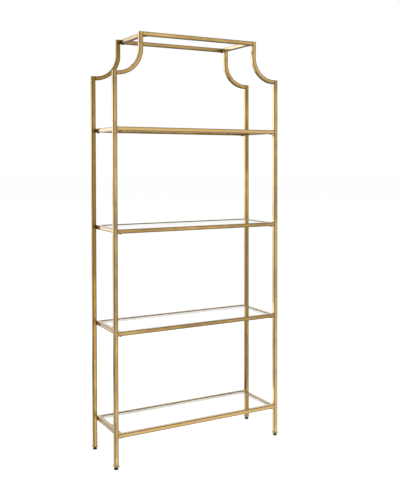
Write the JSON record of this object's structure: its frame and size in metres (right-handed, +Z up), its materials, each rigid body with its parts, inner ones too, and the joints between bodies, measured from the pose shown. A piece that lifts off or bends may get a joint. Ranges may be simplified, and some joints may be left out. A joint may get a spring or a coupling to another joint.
{
  "type": "etagere",
  "caption": "Tall free-standing etagere of square gold tube with scooped shoulders, an open top frame and clear glass shelves.",
  "frame": {"origin": "on the floor at the centre of the plan", "axes": "+X to the right, +Y to the back, +Z up"},
  "size_m": [0.8124, 0.2986, 1.854],
  "materials": {
    "gold_frame": "satin antique gold",
    "clear_glass": "polished",
    "black_bolt": "black oxide",
    "black_glide": "moulded"
  },
  "bodies": {
    "root": {"front_left_post": "gold_frame", "front_right_post": "gold_frame", "rear_left_post": "gold_frame", "rear_right_post": "gold_frame", "front_left_shoulder": "gold_frame", "front_right_shoulder": "gold_frame", "rear_left_shoulder": "gold_frame", "rear_right_shoulder": "gold_frame", "front_left_foot_plate": "gold_frame", "front_right_foot_plate": "gold_frame", "rear_left_foot_plate": "gold_frame", "rear_right_foot_plate": "gold_frame", "shelf_1_front_rail": "gold_frame", "shelf_1_rear_rail": "gold_frame", "shelf_1_left_rail": "gold_frame", "shelf_1_right_rail": "gold_frame", "shelf_1_front_left_bolt": "black_bolt", "shelf_1_front_right_bolt": "black_bolt", "shelf_1_rear_left_bolt": "black_bolt", "shelf_1_rear_right_bolt": "black_bolt", "shelf_2_front_rail": "gold_frame", "shelf_2_rear_rail": "gold_frame", "shelf_2_left_rail": "gold_frame", "shelf_2_right_rail": "gold_frame", "shelf_2_front_left_bolt": "black_bolt", "shelf_2_front_right_bolt": "black_bolt", "shelf_2_rear_left_bolt": "black_bolt", "shelf_2_rear_right_bolt": "black_bolt", "shelf_3_front_rail": "gold_frame", "shelf_3_rear_rail": "gold_frame", "shelf_3_left_rail": "gold_frame", "shelf_3_right_rail": "gold_frame", "shelf_3_front_left_bolt": "black_bolt", "shelf_3_front_right_bolt": "black_bolt", "shelf_3_rear_left_bolt": "black_bolt", "shelf_3_rear_right_bolt": "black_bolt", "shelf_4_front_rail": "gold_frame", "shelf_4_rear_rail": "gold_frame", "shelf_4_left_rail": "gold_frame", "shelf_4_right_rail": "gold_frame", "shelf_4_front_left_bolt": "black_bolt", "shelf_4_front_right_bolt": "black_bolt", "shelf_4_rear_left_bolt": "black_bolt", "shelf_4_rear_right_bolt": "black_bolt", "top_front_rail": "gold_frame", "top_rear_rail": "gold_frame", "top_left_rail": "gold_frame", "top_right_rail": "gold_frame", "top_front_left_bolt": "black_bolt", "top_front_right_bolt": "black_bolt", "top_rear_left_bolt": "black_bolt", "top_rear_right_bolt": "black_bolt"},
    "shelf_1_pane": {"shelf_1_glass": "clear_glass"},
    "shelf_2_pane": {"shelf_2_glass": "clear_glass"},
    "shelf_3_pane": {"shelf_3_glass": "clear_glass"},
    "shelf_4_pane": {"shelf_4_glass": "clear_glass"},
    "front_left_foot": {"front_left_glide": "black_glide"},
    "front_right_foot": {"front_right_glide": "black_glide"},
    "rear_left_foot": {"rear_left_glide": "black_glide"},
    "rear_right_foot": {"rear_right_glide": "black_glide"}
  },
  "joints": [
    {"name": "shelf_1_pane_lift", "type": "slide", "parent": "root", "child": "shelf_1_pane", "axis": [0, 0, 1], "range_m": [0, 0.06]},
    {"name": "shelf_2_pane_lift", "type": "slide", "parent": "root", "child": "shelf_2_pane", "axis": [0, 0, 1], "range_m": [0, 0.06]},
    {"name": "shelf_3_pane_lift", "type": "slide", "parent": "root", "child": "shelf_3_pane", "axis": [0, 0, 1], "range_m": [0, 0.06]},
    {"name": "shelf_4_pane_lift", "type": "slide", "parent": "root", "child": "shelf_4_pane", "axis": [0, 0, 1], "range_m": [0, 0.06]},
    {"name": "front_left_foot_screw", "type": "slide", "parent": "root", "child": "front_left_foot", "axis": [0, 0, -1], "range_m": [0, 0.01]},
    {"name": "front_right_foot_screw", "type": "slide", "parent": "root", "child": "front_right_foot", "axis": [0, 0, -1], "range_m": [0, 0.01]},
    {"name": "rear_left_foot_screw", "type": "slide", "parent": "root", "child": "rear_left_foot", "axis": [0, 0, -1], "range_m": [0, 0.01]},
    {"name": "rear_right_foot_screw", "type": "slide", "parent": "root", "child": "rear_right_foot", "axis": [0, 0, -1], "range_m": [0, 0.01]}
  ]
}
